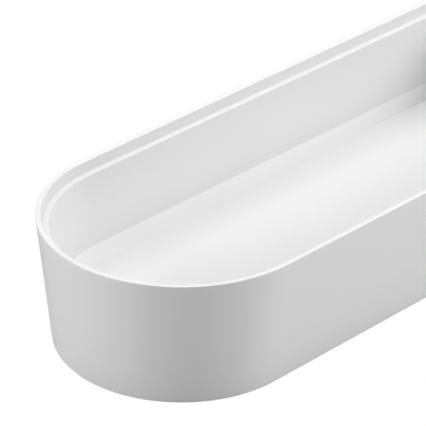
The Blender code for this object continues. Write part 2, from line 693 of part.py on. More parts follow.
def make_gauge():
    """Water level gauge: clear tube in a grommet, with a float, stem and flag that rise in it."""
    low = LINER_FLOOR_Z + GAUGE_WALL
    inner = GAUGE_RADIUS - GAUGE_WALL
    step = inner - GAUGE_STEP
    step_z = low + GAUGE_WALL
    tube = [(inner, GAUGE_TOP_Z), (GAUGE_RADIUS, GAUGE_TOP_Z), (GAUGE_RADIUS, low), (step, low)]
    tube += [(step, step_z), (inner, step_z)]
    turned("gauge_tube", tube, GAUGE_X, GAUGE_Y, clear, closed=True)
    foot_z = INSERT_FLOOR_Z + GAP
    bore = GAUGE_RADIUS + HOLE_GAP
    top_z = foot_z + GROMMET_RISE
    ring = [(bore, top_z), (GROMMET_FLANGE - COVE, top_z), (GROMMET_FLANGE, foot_z + GROMMET_RISE / 2)]
    ring += [(GROMMET_FLANGE, foot_z), (GROMMET_NECK, foot_z)]
    ring += [(GROMMET_NECK, INSERT_BASE_Z), (bore, INSERT_BASE_Z)]
    turned("gauge_grommet", ring, GAUGE_X, GAUGE_Y, rubber, closed=True)
    cap_z = GAUGE_TOP_Z + GAP
    cap_top = cap_z + GAUGE_LOW
    cap_edge = GAUGE_RADIUS + EDGE_ROUND
    plug_z = cap_z - CAP_PLUG
    cap = [(0, cap_top), (GAUGE_RADIUS - FINE_ROUND, cap_top), (cap_edge, cap_top - EDGE_ROUND)]
    cap += [(cap_edge, cap_z), (inner - GAP, cap_z), (inner - GAP, plug_z)]
    cap += [(inner - 4 * GAP, plug_z), (inner - 4 * GAP, cap_z), (0, cap_z)]
    turned("gauge_cap", cap, GAUGE_X, GAUGE_Y, clear)
    float_z = step_z + GAP
    float_top = float_z + FLOAT_HEIGHT
    radius = inner - 0.0005
    edge = EDGE_ROUND
    body = [(0, float_top), (radius - edge, float_top), (radius, float_top - edge), (radius, float_z + edge)]
    body += [(radius - edge, float_z), (0, float_z)]
    turned("gauge_float", body, GAUGE_X, GAUGE_Y, foam)
    flag_top = plug_z - FLOAT_TRAVEL - 2 * GAP
    flag_z = flag_top - FLAG_HEIGHT
    stem_low = float_top + GAP
    stem = [(0, flag_z - GAP), (STEM_RADIUS, flag_z - GAP), (STEM_RADIUS, stem_low), (0, stem_low)]
    turned("gauge_stem", stem, GAUGE_X, GAUGE_Y, foam, steps=12)
    side = radius - PIN_HEAD
    flag = [(0, flag_top), (side - edge, flag_top - GAP), (side, flag_top - COVE)]
    flag += [(side, flag_z + edge), (side - edge, flag_z), (0, flag_z)]
    turned("gauge_flag", flag, GAUGE_X, GAUGE_Y, red)


clear_scene()
planter = collection("self_watering_planter")
cutters = collection("cutters", shown=False)
white = finish_of("white_gloss_plastic", WHITE, 0.32)
liner_white = finish_of("white_liner_plastic", LINER_WHITE, 0.38)
grey = finish_of("grey_insert_plastic", INSERT_GREY, 0.45)
dark = finish_of("dark_basket_plastic", BASKET_GREY, 0.55)
rubber = finish_of("soft_rubber", RUBBER_GREY, 0.8)
felt = finish_of("felt", FELT_GREY, 0.95)
metal = finish_of("pin_steel", PIN_METAL, 0.3, 1.0)
clear = finish_of("clear_plastic", CLEAR, 0.08)
foam = finish_of("float_foam", FLOAT_WHITE, 0.7)
red = finish_of("red_flag", FLAG_RED, 0.4)

make_casing()
make_foot_pads()
make_liner()
make_drain()
make_insert()
make_baskets()
make_mat()
make_bail("bail_right", -1)
make_bail("bail_left", 1)
make_bail_pins()
make_filler()
make_gauge()
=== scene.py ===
import math

import bmesh
import bpy
from mathutils import Matrix, Vector


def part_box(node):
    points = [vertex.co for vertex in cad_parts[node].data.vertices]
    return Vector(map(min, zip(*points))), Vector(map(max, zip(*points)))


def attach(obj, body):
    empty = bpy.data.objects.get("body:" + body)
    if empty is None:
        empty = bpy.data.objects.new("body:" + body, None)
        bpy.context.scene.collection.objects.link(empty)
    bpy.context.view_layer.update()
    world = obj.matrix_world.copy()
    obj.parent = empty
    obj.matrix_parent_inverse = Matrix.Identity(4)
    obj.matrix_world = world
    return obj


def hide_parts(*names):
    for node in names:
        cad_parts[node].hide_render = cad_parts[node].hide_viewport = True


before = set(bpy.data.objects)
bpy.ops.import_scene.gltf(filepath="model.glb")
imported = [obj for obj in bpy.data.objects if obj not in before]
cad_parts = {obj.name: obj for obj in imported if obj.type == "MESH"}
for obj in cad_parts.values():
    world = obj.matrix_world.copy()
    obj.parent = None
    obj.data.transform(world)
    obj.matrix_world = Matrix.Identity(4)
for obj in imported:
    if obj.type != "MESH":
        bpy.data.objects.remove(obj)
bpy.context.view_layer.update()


# Camera and studio: a long lens that looks down on the planter's open end, with soft boxes above, left, right
# and behind. The pale floor is drawn white to the camera but shows darker in reflections, which keeps the
# edges clear.
casing_low, casing_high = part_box("outer_casing")
rim_z = casing_high.z
rim_half = casing_high.y
half_span = casing_high.x - rim_half
end_centre = Vector((-half_span, 0, rim_z))

azimuth = math.radians(-45.067)
elevation = math.radians(30.220)
roll = 0.00765
away = Vector((math.sin(azimuth) * math.cos(elevation), -math.cos(azimuth) * math.cos(elevation),
    math.sin(elevation)))
level = Vector((0, 0, 1)).cross(away).normalized()
upright = away.cross(level)
right = math.cos(roll) * level + math.sin(roll) * upright
up = -math.sin(roll) * level + math.cos(roll) * upright
camera_data = bpy.data.cameras.new("camera")
camera_data.lens = 254.26
camera_data.sensor_width = 36
camera_data.clip_start = 0.05
camera_data.clip_end = 50
camera = bpy.data.objects.new("camera", camera_data)
bpy.context.scene.collection.objects.link(camera)
camera_place = end_centre + rim_half * Vector((-12.4234, -12.6983, 10.3262))
camera.matrix_world = Matrix.Translation(camera_place) @ Matrix((right, up, away)).transposed().to_4x4()
bpy.context.scene.camera = camera

world = bpy.data.worlds.new("studio")
world.use_nodes = True
world.node_tree.nodes["Background"].inputs["Color"].default_value = (1, 1, 1, 1)
world.node_tree.nodes["Background"].inputs["Strength"].default_value = 0.04
bpy.context.scene.world = world
bpy.context.scene.view_settings.view_transform = "Standard"


def softbox(name, place, aim, width, height, power):
    """A rectangular area light that points at aim."""
    data = bpy.data.lights.new(name, "AREA")
    data.shape = "RECTANGLE"
    data.size = width
    data.size_y = height
    data.energy = power
    lamp = bpy.data.objects.new(name, data)
    bpy.context.scene.collection.objects.link(lamp)
    lamp.location = place
    lamp.rotation_euler = (Vector(aim) - Vector(place)).to_track_quat("-Z", "Y").to_euler()


softbox("top_light", (0.0, 0.2, 1.9), (0, 0, 0), 2.6, 2.0, 33)
softbox("left_light", (-1.93, 0.79, 0.8), (-0.3, 0, 0.05), 0.9, 0.9, 19.5)
softbox("right_light", (0.96, -1.4, 0.8), (-0.15, 0, 0.05), 0.9, 0.9, 25.3)
softbox("back_light", (1.6, 1.7, 0.6), (0, 0, 0.05), 3.0, 1.0, 9)

floor_sheet = bmesh.new()
bmesh.ops.create_grid(floor_sheet, x_segments=1, y_segments=1, size=6)
bmesh.ops.translate(floor_sheet, verts=floor_sheet.verts, vec=(0, 0, -0.0002))
floor_mesh = bpy.data.meshes.new("floor")
floor_sheet.to_mesh(floor_mesh)
floor_sheet.free()
floor = bpy.data.objects.new("floor", floor_mesh)
bpy.context.scene.collection.objects.link(floor)
floor_paint = bpy.data.materials.new("floor_paint")
floor_paint.use_nodes = True
floor_tree = floor_paint.node_tree
floor_shader = floor_tree.nodes["Principled BSDF"]
floor_shader.inputs["Base Color"].default_value = (0.6, 0.6, 0.6, 1)
floor_shader.inputs["Roughness"].default_value = 0.9
floor_shader.inputs["Emission Color"].default_value = (1, 1, 1, 1)
floor_shader.inputs["Emission Strength"].default_value = 0.05
floor_in_reflections = 0.40
floor_to_camera = 1.01
seen = floor_tree.nodes.new("ShaderNodeLightPath")
level_seen = floor_tree.nodes.new("ShaderNodeMapRange")
level_seen.inputs["To Min"].default_value = floor_in_reflections
level_seen.inputs["To Max"].default_value = floor_to_camera
glow = floor_tree.nodes.new("ShaderNodeEmission")
pick = floor_tree.nodes.new("ShaderNodeMixShader")
floor_tree.links.new(seen.outputs["Is Camera Ray"], level_seen.inputs["Value"])
floor_tree.links.new(level_seen.outputs["Result"], glow.inputs["Strength"])
floor_tree.links.new(seen.outputs["Is Diffuse Ray"], pick.inputs["Fac"])
floor_tree.links.new(glow.outputs["Emission"], pick.inputs[1])
floor_tree.links.new(floor_shader.outputs["BSDF"], pick.inputs[2])
floor_tree.links.new(pick.outputs["Shader"], floor_tree.nodes["Material Output"].inputs["Surface"])
floor_mesh.materials.append(floor_paint)


# Outer casing: one injection moulding in white plastic, with a drafted wall and a flat floor with ribs that
# carry the liner. Its satin skin has a faint orange peel, and its thin lip is painted a paler white than the
# wall, as a painted highlight where the top light falls on it.
END_STEPS = 96
CLEARANCE = 0.0003
OVERSHOOT = 0.001
wall = 0.0030
casing_height = rim_z - casing_low.z
side_lean = 0.0077
base_z = casing_low.z


def casing_outer(z):
    return rim_half - side_lean * (rim_z - z) / casing_height


def sweep(section, route):
    """A wall section, as (half width, height) points, drawn round a plan route of turns and runs."""
    bm = bmesh.new()
    verts = [bm.verts.new((half_span, -radius, z)) for radius, z in section]
    line = verts + [bm.edges.new(pair) for pair in zip(verts, verts[1:])]
    for x, y, degrees in route:
        steps = max(1, round(END_STEPS * abs(degrees) / 180))
        centre, shift = ((x, y, 0), (0, 0, 0)) if degrees else ((0, 0, 0), (x, y, 0))
        line = bmesh.ops.spin(
            bm, geom=line, cent=centre, axis=(0, 0, 1), dvec=shift,
            angle=math.radians(degrees), steps=steps, use_merge=False, use_duplicate=False,
        )["geom_last"]
    bmesh.ops.remove_doubles(bm, verts=bm.verts, dist=1e-6)
    bmesh.ops.holes_fill(bm, edges=[edge for edge in bm.edges if edge.is_boundary], sides=0)
    bmesh.ops.recalc_face_normals(bm, faces=bm.faces)
    return bm


def round_arc(centre, radius, start, end, steps):
    """Points on an arc in the section's plane, angles in degrees."""
    angles = [math.radians(start + (end - start) * i / steps) for i in range(steps + 1)]
    return [(centre[0] + radius * math.cos(a), centre[1] + radius * math.sin(a)) for a in angles]


def piece(name, bm, body, paint, replaced=()):
    """A finished piece: named, smooth with sharp creases, painted, and riding on its body."""
    mesh = bpy.data.meshes.new(name)
    bm.to_mesh(mesh)
    bm.free()
    mesh.materials.append(paint)
    mesh.shade_smooth()
    mesh.set_sharp_from_angle(angle=math.radians(32))
    made = bpy.data.objects.new(name, mesh)
    bpy.context.scene.collection.objects.link(made)
    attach(made, body)
    if replaced:
        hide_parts(*replaced)
    return made


def block(low, high):
    bm = bmesh.new()
    size = Vector(high) - Vector(low)
    place = Matrix.Translation((Vector(low) + Vector(high)) / 2) @ Matrix.Diagonal((*size, 1))
    bmesh.ops.create_cube(bm, size=1, matrix=place)
    return bm


def rod(radius, start, end, steps=48):
    """A plain round bar between two points."""
    bm = bmesh.new()
    start, end = Vector(start), Vector(end)
    turn = (end - start).to_track_quat("Z", "Y").to_matrix().to_4x4()
    place = Matrix.Translation((start + end) / 2) @ turn
    bmesh.ops.create_cone(
        bm, cap_ends=True, segments=steps, radius1=radius, radius2=radius, depth=(end - start).length,
        matrix=place,
    )
    return bm


def carve(bm, tools, operation="DIFFERENCE"):
    """Cuts separate closed tools out of a shape, or joins them to it, and gives the result."""
    loose = []
    for shapes in ([bm], tools):
        whole = bmesh.new()
        for shape in shapes:
            mesh = bpy.data.meshes.new("shape")
            shape.to_mesh(mesh)
            shape.free()
            whole.from_mesh(mesh)
            bpy.data.meshes.remove(mesh)
        mesh = bpy.data.meshes.new("shape")
        whole.to_mesh(mesh)
        whole.free()
        made = bpy.data.objects.new("shape", mesh)
        bpy.context.scene.collection.objects.link(made)
        loose.append(made)
    boolean = loose[0].modifiers.new("carve", "BOOLEAN")
    boolean.operation = operation
    boolean.solver = "EXACT"
    boolean.object = loose[1]
    bpy.context.view_layer.update()
    graph = bpy.context.evaluated_depsgraph_get()
    mesh = bpy.data.meshes.new_from_object(loose[0].evaluated_get(graph))
    result = bmesh.new()
    result.from_mesh(mesh)
    for made in loose:
        old = made.data
        bpy.data.objects.remove(made)
        bpy.data.meshes.remove(old)
    bpy.data.meshes.remove(mesh)
    return result


def soften(bm, width, degrees=40, segments=2):
    """Small rounds on every crease sharper than degrees."""
    creases = [e for e in bm.edges if len(e.link_faces) == 2 and e.calc_face_angle() > math.radians(degrees)]
    bmesh.ops.bevel(
        bm, geom=creases, offset=width, offset_type="OFFSET", affect="EDGES", segments=segments, profile=0.5,
        material=-1, clamp_overlap=True,
    )
    return bm


def value_socket(tree, kind, name, way, value=None):
    socket = tree.interface.new_socket(name=name, in_out=way, socket_type=kind)
    if value is not None:
        socket.default_value = value
    return socket


def noise(tree, source, scale, detail, roughness=0.5):
    node = tree.nodes.new("ShaderNodeTexNoise")
    node.inputs["Scale"].default_value = scale
    node.inputs["Detail"].default_value = detail
    node.inputs["Roughness"].default_value = roughness
    tree.links.new(source, node.inputs["Vector"])
    return node.outputs["Fac"]


def remap(tree, source, low, high, to_low, to_high):
    node = tree.nodes.new("ShaderNodeMapRange")
    node.inputs["From Min"].default_value = low
    node.inputs["From Max"].default_value = high
    node.inputs["To Min"].default_value = to_low
    node.inputs["To Max"].default_value = to_high
    tree.links.new(source, node.inputs["Value"])
    return node.outputs["Result"]


def maths(tree, operation, first, second):
    node = tree.nodes.new("ShaderNodeMath")
    node.operation = operation
    for socket, value in zip(node.inputs, (first, second)):
        if isinstance(value, (int, float)):
            socket.default_value = value
        else:
            tree.links.new(value, socket)
    return node.outputs["Value"]


def shade(tree, colour, factor):
    """Multiplies a colour by a value that changes over the surface."""
    node = tree.nodes.new("ShaderNodeVectorMath")
    node.operation = "SCALE"
    tree.links.new(colour, node.inputs[0])
    tree.links.new(factor, node.inputs["Scale"])
    return node.outputs["Vector"]


def make_moulded_skin():
    """Moulded plastic's skin: flow marks in the tone, a satin that varies, fine scuffs, and orange peel."""
    group = bpy.data.node_groups.new("moulded_skin", "ShaderNodeTree")
    value_socket(group, "NodeSocketColor", "Colour", "INPUT", (0.8, 0.8, 0.8, 1))
    value_socket(group, "NodeSocketFloat", "Tone", "INPUT", 0.02)
    value_socket(group, "NodeSocketFloat", "Satin", "INPUT", 0.3)
    value_socket(group, "NodeSocketFloat", "Scuffs", "INPUT", 0.1)
    value_socket(group, "NodeSocketColor", "Colour", "OUTPUT")
    value_socket(group, "NodeSocketFloat", "Roughness", "OUTPUT")
    value_socket(group, "NodeSocketFloat", "Height", "OUTPUT")
    inputs = group.nodes.new("NodeGroupInput")
    outputs = group.nodes.new("NodeGroupOutput")
    place = group.nodes.new("ShaderNodeTexCoord").outputs["Object"]
    drawn = group.nodes.new("ShaderNodeMapping")
    drawn.inputs["Scale"].default_value = (1, 1, 3.5)
    group.links.new(place, drawn.inputs["Vector"])
    flow = noise(group, drawn.outputs["Vector"], 9, 3)
    speck = noise(group, place, 1400, 2)
    tone = maths(group, "SUBTRACT", flow, 0.5)
    tone = maths(group, "MULTIPLY", tone, inputs.outputs["Tone"])
    grit = maths(group, "MULTIPLY", maths(group, "SUBTRACT", speck, 0.5),
        maths(group, "MULTIPLY", inputs.outputs["Tone"], 0.6))
    factor = maths(group, "ADD", maths(group, "ADD", tone, grit), 1.0)
    group.links.new(shade(group, inputs.outputs["Colour"], factor), outputs.inputs["Colour"])
    scratch_map = group.nodes.new("ShaderNodeMapping")
    scratch_map.inputs["Rotation"].default_value = (0.3, 0.2, 0.5)
    scratch_map.inputs["Scale"].default_value = (12, 420, 160)
    group.links.new(place, scratch_map.inputs["Vector"])
    scratch = noise(group, scratch_map.outputs["Vector"], 1.0, 1, 0.4)
    scratch = remap(group, scratch, 0.68, 0.74, 0, 1)
    patch = remap(group, noise(group, place, 14, 2), 0.45, 0.7, 0, 1)
    scuff = maths(group, "MULTIPLY", maths(group, "MULTIPLY", scratch, patch), inputs.outputs["Scuffs"])
    haze = maths(group, "MULTIPLY", maths(group, "SUBTRACT", noise(group, place, 45, 4), 0.5), 0.10)
    rough = maths(group, "ADD", maths(group, "ADD", inputs.outputs["Satin"], haze), scuff)
    group.links.new(rough, outputs.inputs["Roughness"])
    peel = noise(group, place, 420, 2, 0.4)
    pores = maths(group, "MULTIPLY", noise(group, place, 2600, 1), 0.35)
    height = maths(group, "SUBTRACT", maths(group, "ADD", peel, pores), maths(group, "MULTIPLY", scuff, 1.5))
    group.links.new(height, outputs.inputs["Height"])
    return group


moulded_skin = make_moulded_skin()


def moulded(name, colour, satin, tone=0.02, scuffs=0.12, bump=0.03):
    """A moulded plastic with its own colour, satin and wear."""
    paint = bpy.data.materials.new(name)
    paint.use_nodes = True
    tree = paint.node_tree
    shader = tree.nodes["Principled BSDF"]
    skin = tree.nodes.new("ShaderNodeGroup")
    skin.node_tree = moulded_skin
    skin.inputs["Colour"].default_value = (*colour, 1)
    skin.inputs["Tone"].default_value = tone
    skin.inputs["Satin"].default_value = satin
    skin.inputs["Scuffs"].default_value = scuffs
    tree.links.new(skin.outputs["Colour"], shader.inputs["Base Color"])
    tree.links.new(skin.outputs["Roughness"], shader.inputs["Roughness"])
    relief = tree.nodes.new("ShaderNodeBump")
    relief.inputs["Strength"].default_value = bump
    relief.inputs["Distance"].default_value = 0.0004
    tree.links.new(skin.outputs["Height"], relief.inputs["Height"])
    tree.links.new(relief.outputs["Normal"], shader.inputs["Normal"])
    shader.inputs["IOR"].default_value = 1.49
    return paint


def tone_by_height(paint, stops):
    """Sets how white a moulding is at each height, from (height, tone) pairs in rising order; used here to
    paint highlight on faces lit from above.
    """
    tree = paint.node_tree
    height = tree.nodes.new("ShaderNodeSeparateXYZ")
    tree.links.new(tree.nodes.new("ShaderNodeTexCoord").outputs["Object"], height.inputs["Vector"])
    low, high = stops[0][0], stops[-1][0]
    ramp = tree.nodes.new("ShaderNodeValToRGB")
    for element, tone in zip(ramp.color_ramp.elements, (stops[0][1], stops[-1][1])):
        element.color = (tone, tone, tone, 1)
    for level, tone in stops[1:-1]:
        ramp.color_ramp.elements.new((level - low) / (high - low)).color = (tone, tone, tone, 1)
    tree.links.new(remap(tree, height.outputs["Z"], low, high, 0, 1), ramp.inputs["Fac"])
    skin = next(node for node in tree.nodes if node.type == "GROUP")
    tree.links.new(ramp.outputs["Color"], skin.inputs["Colour"])


casing_tone = 0.775
lip_painted_highlight_tone = 0.90
casing_white = moulded("casing_white", (casing_tone,) * 3, 0.30, tone=0.015, scuffs=0.10, bump=0.025)
# Painted highlight: the top 0.8 mm of the casing, its lip, is painted paler than the wall, where the top
# light falls.
tone_by_height(casing_white, [(rim_z - 0.0008, casing_tone), (rim_z - 0.0002, lip_painted_highlight_tone)])

lip_outer = 0.0006
lip_inner = 0.0010
foot_round = 0.0008
casing_floor_z = base_z + 0.0030
rim_in = rim_half - wall
draw_line_z = rim_z - 0.0096
casing_section = [(casing_outer(base_z) - foot_round * 2.2, base_z),
    (casing_outer(base_z) - foot_round * 1.2, base_z)]
casing_section += round_arc((casing_outer(base_z) - foot_round, base_z + foot_round), foot_round, -80, -6, 4)
casing_section += [(casing_outer(z), z) for z in (base_z + 0.004, draw_line_z - 0.0030)]
casing_section += [(casing_outer(draw_line_z) + 0.00005, draw_line_z),
    (casing_outer(draw_line_z + 0.003), draw_line_z + 0.003)]
casing_section += round_arc((rim_half - lip_outer, rim_z - lip_outer), lip_outer, 3, 90, 6)
casing_section += round_arc((rim_in + lip_inner, rim_z - lip_inner), lip_inner, 90, 174, 6)
casing_section += [(casing_outer(casing_floor_z + 0.002) - wall, casing_floor_z + 0.002)]
casing_section += [(casing_outer(casing_floor_z) - wall - 0.0006, casing_floor_z + 0.0005)]
casing_section += [(casing_outer(casing_floor_z) - wall - inset, casing_floor_z) for inset in (0.0020,
    0.0030)]
long_route = [(half_span, 0, 180), (-2 * half_span, 0, 0), (-half_span, 0, 180), (2 * half_span, 0, 0)]
casing_shape = sweep(casing_section, long_route)

plug_low, plug_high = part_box("drain_plug")
drain_x = (plug_low.x + plug_high.x) / 2
outlet_radius = 0.0130
pad_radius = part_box("foot_pad_1")[1].x - (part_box("foot_pad_1")[0].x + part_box("foot_pad_1")[1].x) / 2
pad_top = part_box("foot_pad_1")[1].z
pad_names = [f"foot_pad_{i}" for i in range(1, 7)]
pad_places = [(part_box(n)[0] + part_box(n)[1]) / 2 for n in pad_names]
rib_low = casing_floor_z - 0.0015
rib_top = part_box("reservoir_liner")[0].z - CLEARANCE
rib_width = 0.0024
rib_cells = 6
ribs = []
for i in range(rib_cells + 1):
    x = -half_span + i * 2 * half_span / rib_cells
    y = casing_outer(casing_floor_z) - wall - 0.010
    ribs.append(block((x - rib_width / 2, -y, rib_low), (x + rib_width / 2, y, rib_top)))
rails = [block((-half_span - 0.040, y - rib_width / 2, rib_low),
    (half_span + 0.040, y + rib_width / 2, rib_top - 0.0001))
         for y in (-0.028, 0.028)]
casing_shape = carve(casing_shape, ribs, "UNION")
casing_shape = carve(casing_shape, rails, "UNION")
recesses = [rod(pad_radius + CLEARANCE, (p.x, p.y, -OVERSHOOT),
    (p.x, p.y, pad_top + CLEARANCE)) for p in pad_places]
recesses.append(rod(outlet_radius, (drain_x, 0, -OVERSHOOT), (drain_x, 0, casing_floor_z + OVERSHOOT)))
casing_shape = carve(casing_shape, recesses)
piece("casing_shell", casing_shape, "casing", casing_white, ["outer_casing"])


# Reservoir liner: a lighter moulding in the same white, whose thick bead shows as the ledge below the lip.
# The wall is drafted to the water line, and the zone below it is set a shade paler. The floor and the top of
# the ledge are painted paler, as a painted highlight where the top light falls on them.
liner_low, liner_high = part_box("reservoir_liner")
ledge_z = liner_high.z
liner_rim = liner_high.y
liner_wall = 0.0020
ledge_width = 0.00345
bead_z = ledge_z - 0.0040
liner_floor_z = liner_low.z + 0.0020
water_z = liner_floor_z + 0.0106
ledge_inner = liner_rim - ledge_width
water_half = casing_outer(water_z) - wall - 0.0021 - liner_wall
floor_half = casing_outer(liner_floor_z) - wall - 0.0021 - liner_wall - 0.00135


def liner_inner(z):
    return water_half + (ledge_inner - water_half) * (z - water_z) / (ledge_z - water_z)


liner_section = [(floor_half + liner_wall - inset, liner_low.z) for inset in (0.0025, 0.0015)]
liner_section += [(floor_half + liner_wall - 0.0004, liner_low.z + 0.0004)]
liner_section += [(floor_half + liner_wall, liner_low.z + 0.0015), (water_half + liner_wall, water_z)]
liner_section += [(liner_inner(bead_z) + liner_wall, bead_z - 0.0003),
    (liner_inner(bead_z) + liner_wall + 0.0003, bead_z)]
bead_half = casing_outer(ledge_z) - wall - 0.00001
liner_section += [(casing_outer(bead_z) - wall - 0.0004, bead_z),
    (casing_outer(bead_z) - wall - 0.0002, bead_z + 0.0002)]
liner_section += [(bead_half, ledge_z)]
liner_section += round_arc((ledge_inner + 0.0009, ledge_z - 0.0009), 0.0009, 90, 176, 6)
liner_section += [(water_half + 0.00005, water_z + 0.0006), (water_half - 0.0001, water_z - 0.0004)]
liner_section += round_arc((floor_half - 0.0006, liner_floor_z + 0.0010), 0.0010, -8, -90, 6)
liner_section += [(floor_half - 0.0020, liner_floor_z)]
liner_shape = sweep(liner_section, long_route)
drain_radius = 0.0090
drain_hole = rod(drain_radius, (drain_x, 0, liner_low.z - OVERSHOOT), (drain_x, 0, liner_floor_z + OVERSHOOT))
liner_shape = carve(liner_shape, [drain_hole])
liner_white = moulded("liner_white", (0.80, 0.80, 0.80), 0.34, tone=0.012, scuffs=0.10, bump=0.02)
# Painted highlight: the floor and the ledge top are painted paler than the wall, where the top light falls;
# the band just above the floor is set a shade paler too.
floor_painted_highlight_tone = 0.86
low_band_tone = 0.90
low_band_top_tone = 0.89
dry_tone = 0.77
ledge_painted_highlight_tone = 0.86
low_band_height = water_z + 0.0002 - liner_floor_z
tone_by_height(liner_white, [
    (liner_floor_z, floor_painted_highlight_tone), (liner_floor_z + 0.06 * low_band_height, floor_painted_highlight_tone),
    (liner_floor_z + 0.10 * low_band_height, low_band_tone), (liner_floor_z + 0.94 * low_band_height, low_band_top_tone),
    (liner_floor_z + low_band_height, dry_tone), (ledge_z - 0.0008, dry_tone),
    (ledge_z - 0.0002, ledge_painted_highlight_tone), (ledge_z, ledge_painted_highlight_tone),
])
piece("liner_tray", liner_shape, "liner", liner_white, ["reservoir_liner"])


# Foot pads: six soft rubber discs, moulded with grip rings and pressed into round recesses under the casing.
def rounded(points, steps=4):
    """A profile in which a point's third number, if it has one, is the size of its round."""
    drawn = []
    for i, point in enumerate(points):
        here = Vector(point[:2])
        if len(point) == 2:
            drawn.append(tuple(here))
            continue
        before = Vector(points[i - 1][:2]) - here
        after = Vector(points[(i + 1) % len(points)][:2]) - here
        start = here + before.normalized() * min(point[2], before.length * 0.49)
        end = here + after.normalized() * min(point[2], after.length * 0.49)
        for k in range(steps + 1):
            t = k / steps
            drawn.append(tuple((1 - t) ** 2 * start + 2 * t * (1 - t) * here + t * t * end))
    return drawn


def turned(profile, x, y, steps=64, closed=False):
    """A turned shape about the upright line through (x, y)."""
    bm = bmesh.new()
    verts = [bm.verts.new((x + radius, y, z)) for radius, z in rounded(profile)]
    edges = [bm.edges.new(pair) for pair in zip(verts, verts[1:])]
    if closed:
        edges.append(bm.edges.new((verts[-1], verts[0])))
    bmesh.ops.spin(
        bm, geom=verts + edges, cent=(x, y, 0), axis=(0, 0, 1), angle=2 * math.pi, steps=steps,
        use_merge=True, use_duplicate=False,
    )
    bmesh.ops.remove_doubles(bm, verts=bm.verts, dist=1e-6)
    bmesh.ops.recalc_face_normals(bm, faces=bm.faces)
    return bm


rubber_grey = moulded("soft_rubber", (0.045, 0.045, 0.048), 0.72, tone=0.25, scuffs=0.05, bump=0.12)
for pad_name, place in zip(pad_names, pad_places):
    pad_profile = [(0, pad_top), (pad_radius, pad_top, 0.0003), (pad_radius, 0, 0.0005)]
    for groove in (0.0060, 0.0040, 0.0020):
        pad_profile += [(groove + 0.0004, 0, 0.0001), (groove + 0.0004, 0.0004), (groove - 0.0004, 0.0004)]
        pad_profile += [(groove - 0.0004, 0, 0.0001)]
    pad_profile += [(0, 0)]
    pad = turned(pad_profile, place.x, place.y, 40)
    piece(pad_name + "_disc", pad, "casing", rubber_grey, [pad_name])


# Drain plug: a soft stopper that plugs the hole in the liner's floor. It is turned up into a finger knob, and
# a flat rubber washer seals it on the floor.
washer_low, washer_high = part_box("drain_washer")
washer_radius = washer_high.x - drain_x
washer_bore = drain_radius + CLEARANCE
washer = turned(
    [(washer_radius, washer_high.z, 0.0003), (washer_radius, washer_low.z, 0.0003),
     (washer_bore, washer_low.z, 0.0002), (washer_bore, washer_high.z, 0.0002)],
    drain_x, 0, closed=True,
)
piece("drain_washer_ring", washer, "drain_plug", rubber_grey, ["drain_washer"])

plug_radius = plug_high.x - drain_x
plug_disc_z = washer_high.z + CLEARANCE
plug_disc_top = plug_disc_z + 0.0022
plug_stem = drain_radius - CLEARANCE
plug_profile = [
    (0, plug_high.z), (0.0036, plug_high.z, 0.0012), (0.0060, plug_high.z - 0.0016, 0.0016),
    (0.0060, plug_high.z - 0.0044, 0.0016), (0.0034, plug_high.z - 0.0062, 0.0016),
    (0.0034, plug_disc_top, 0.0018), (plug_radius - 0.0030, plug_disc_top, 0.0002),
    (plug_radius - 0.0026, plug_disc_top - 0.0003, 0.0002), (plug_radius, plug_disc_top - 0.0003, 0.0006),
    (plug_radius, plug_disc_z, 0.0004), (plug_stem, plug_disc_z, 0.0002),
    (plug_stem - 0.0004, plug_low.z + 0.0010, 0.0006), (plug_stem - 0.0014, plug_low.z, 0.0003),
    (0, plug_low.z),
]
plug_grey = moulded("plug_rubber", (0.10, 0.105, 0.11), 0.55, tone=0.12, scuffs=0.10, bump=0.06)
piece("drain_plug_body", turned(plug_profile, drain_x, 0), "drain_plug", plug_grey, ["drain_plug"])


# Grow insert: a half-length tray in pale grey plastic, moulded in one with its flange, its drain slots and
# the four ears that carry the bails. Its flange lies on the liner's rim.
insert_low, insert_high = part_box("grow_insert")
flange_radius = insert_high.y
insert_wall = 0.0020
insert_floor_z = insert_low.z + insert_wall
flange_z = insert_high.z - 0.0020
insert_corner = 0.0160
insert_grey = moulded("insert_grey", (0.66, 0.67, 0.67), 0.40, tone=0.035, scuffs=0.14, bump=0.035)


def insert_outer(z):
    return liner_inner(z) - 0.0016


def insert_inner(z):
    return insert_outer(z) - insert_wall


def half_route(start_x, outline, corner):
    """A plan route round one half-round end and one straight end with rounded corners."""
    x = start_x + corner
    y = outline - corner
    return [(half_span, 0, 180), (x - half_span, 0, 0), (x, y, 90), (0, -2 * y, 0), (x, -y, 90),
        (half_span - x, 0, 0)]


def punch(radius, x, y, low, high, flare=0.0004):
    """A round hole's tool with a small countersink at each face."""
    flared = radius + flare
    return turned(
        [(0, high + 0.001), (flared + 0.001, high + 0.001), (radius, high - flare), (radius, low + flare),
         (flared + 0.001, low - 0.001), (0, low - 0.001)], x, y,
    )


def slot_tool(x, y, width, length, low, high):
    """A straight slot's tool with round ends, along Y."""
    bm = bmesh.new()
    half = length / 2 - width / 2
    outline = round_arc((x, y + half), width / 2, 0, 180, 10) + round_arc((x, y - half), width / 2, 180, 360,
        10)
    face = bm.faces.new([bm.verts.new((px, py, low)) for px, py in outline])
    raised = bmesh.ops.extrude_face_region(bm, geom=[face])["geom"]
    bmesh.ops.translate(bm, verts=[v for v in raised if isinstance(v, bmesh.types.BMVert)],
        vec=(0, 0, high - low))
    bmesh.ops.recalc_face_normals(bm, faces=bm.faces)
    return bm


